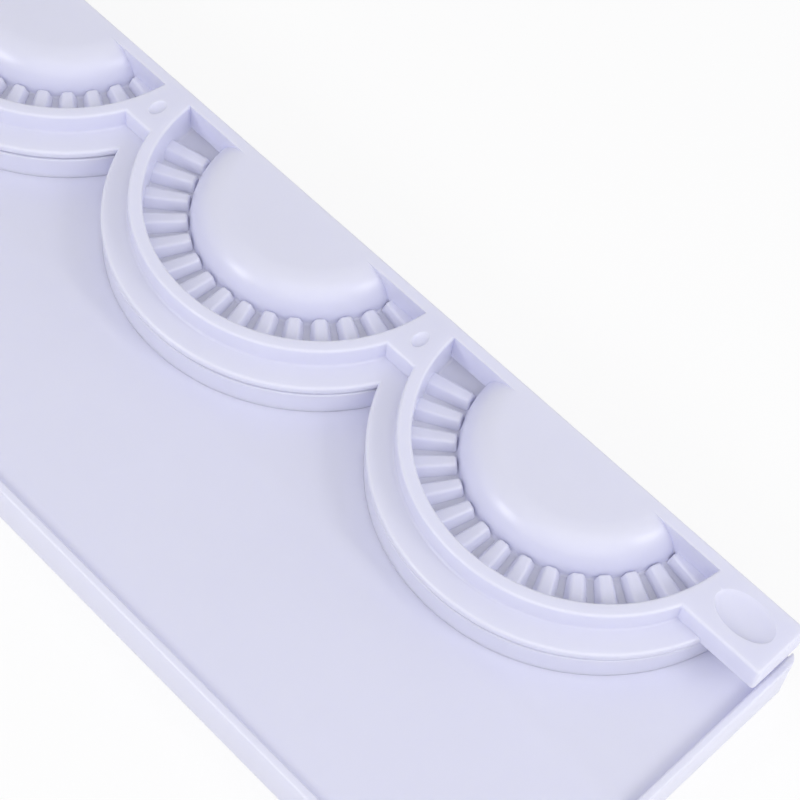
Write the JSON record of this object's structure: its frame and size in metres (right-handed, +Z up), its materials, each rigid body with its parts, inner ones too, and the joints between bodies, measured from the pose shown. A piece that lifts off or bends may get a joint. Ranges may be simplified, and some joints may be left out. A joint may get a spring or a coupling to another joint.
{
  "type": "dumpling press",
  "caption": "White plastic hand press with a hinged row of ribbed half-moon moulds on a wide lipped board, for folding and crimping dumplings.",
  "frame": {"origin": "middle of the bounding box on the table under the board", "axes": "+X along the row of cells, +Y from the board's lip to the hinge, +Z up"},
  "size_m": [0.3094, 0.0815, 0.0198],
  "materials": {
    "white_plastic": "moulded polypropylene, satin gloss, faintly cool white",
    "pin_steel": "drawn steel wire, plain"
  },
  "bodies": {
    "base": {"base_board": "white_plastic", "lower_cell_1": "white_plastic", "lower_cell_2": "white_plastic", "lower_cell_3": "white_plastic", "lower_cell_4": "white_plastic", "hinge_pin_1": "pin_steel", "hinge_pin_2": "pin_steel", "hinge_pin_3": "pin_steel", "hinge_pin_4": "pin_steel", "hinge_pin_5": "pin_steel"},
    "upper_jaw": {"upper_cell_1": "white_plastic", "upper_cell_2": "white_plastic", "upper_cell_3": "white_plastic", "upper_cell_4": "white_plastic"}
  },
  "joints": [
    {"name": "jaw_hinge", "type": "hinge", "parent": "base", "child": "upper_jaw", "pos_m": [0, 0.03855, 0.0139], "axis": [-1, 0, 0], "range_deg": [0, 180]}
  ]
}
